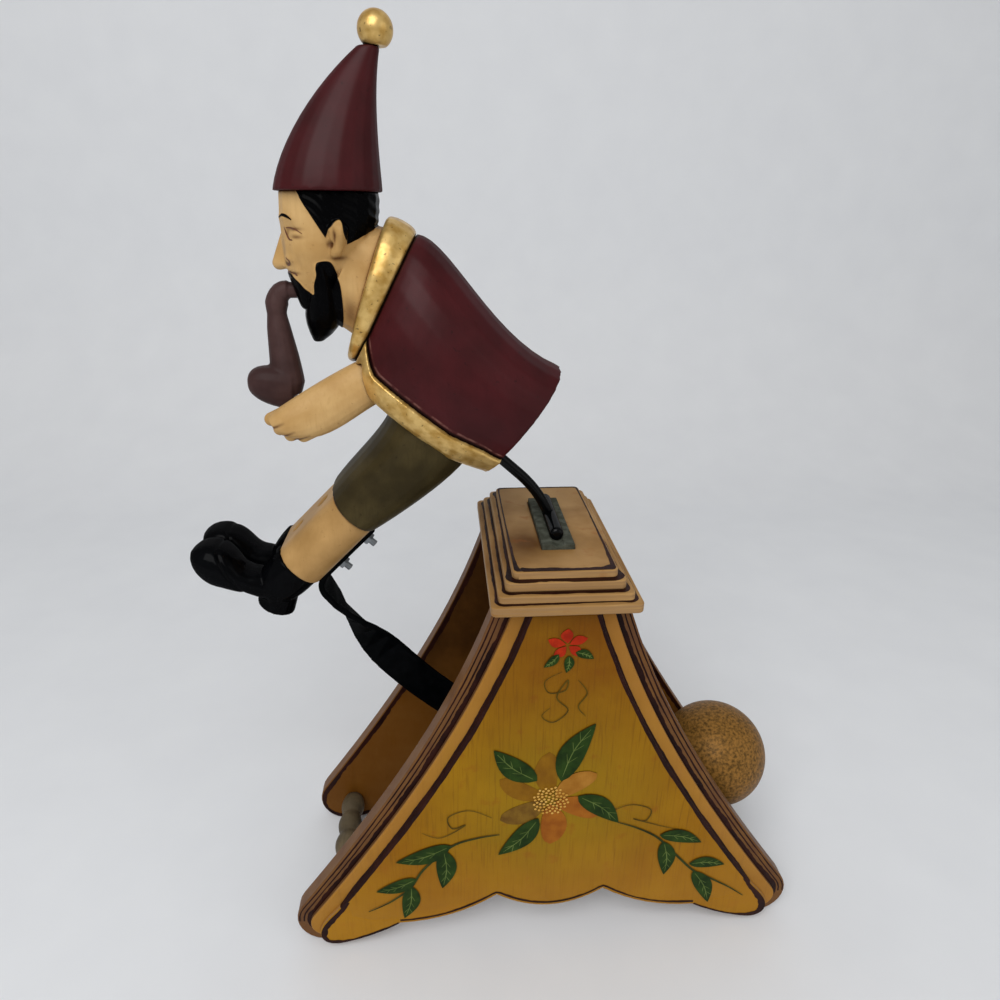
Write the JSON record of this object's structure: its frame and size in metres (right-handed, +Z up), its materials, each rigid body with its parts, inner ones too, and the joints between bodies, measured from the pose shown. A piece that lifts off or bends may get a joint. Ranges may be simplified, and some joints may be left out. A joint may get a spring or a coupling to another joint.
{
  "type": "balance toy",
  "caption": "Painted wooden balance toy: a carved pipe smoker rocks on a steel bar above a flowered stand, held upright by a twisted strap with a weighted ball.",
  "frame": {"origin": "on the floor, under the middle of the whole toy's box", "axes": "+Z up, the figure faces -X, +Y is the figure's right-hand side and runs along the rocking axis"},
  "size_m": [0.3211, 0.127, 0.4604],
  "materials": {
    "ochre_paint": "satin",
    "turned_wood": "satin",
    "bare_wood": "matte",
    "black_steel": "satin",
    "zinc_steel": "satin",
    "maroon_paint": "gloss",
    "gilt_paint": "gloss",
    "skin_paint": "satin",
    "pipe_paint": "gloss",
    "olive_paint": "satin",
    "black_paint": "gloss",
    "bronze_paint": "satin",
    "cast_core": "matte"
  },
  "bodies": {
    "stand": {"front_panel": "ochre_paint", "back_panel": "ochre_paint", "left_stretcher": "turned_wood", "right_stretcher": "turned_wood", "cap_base": "ochre_paint", "cap_top": "ochre_paint", "cap_dowels": "bare_wood", "pivot_plate": "black_steel"},
    "rocker": {"pivot_bar": "black_steel", "pivot_rod": "black_steel", "body": "maroon_paint", "collar": "gilt_paint", "left_trim": "gilt_paint", "right_trim": "gilt_paint", "neck_peg": "bare_wood", "head": "skin_paint", "hat": "maroon_paint", "hat_peg": "bare_wood", "hat_ball": "gilt_paint", "arm": "skin_paint", "pipe": "pipe_paint", "shorts": "olive_paint", "hip_pegs": "bare_wood", "legs": "skin_paint", "left_boot": "black_paint", "right_boot": "black_paint", "strap": "black_steel", "strap_bolts": "zinc_steel", "strap_washers": "zinc_steel", "strap_nuts": "zinc_steel", "ball_left": "bronze_paint", "ball_right": "bronze_paint", "ball_core": "cast_core", "core_pin": "zinc_steel"}
  },
  "joints": [
    {"name": "rock", "type": "hinge", "parent": "stand", "child": "rocker", "pos_m": [0.0185, 0, 0.2406], "axis": [0, 1, 0], "range_deg": [-20, 20]}
  ]
}
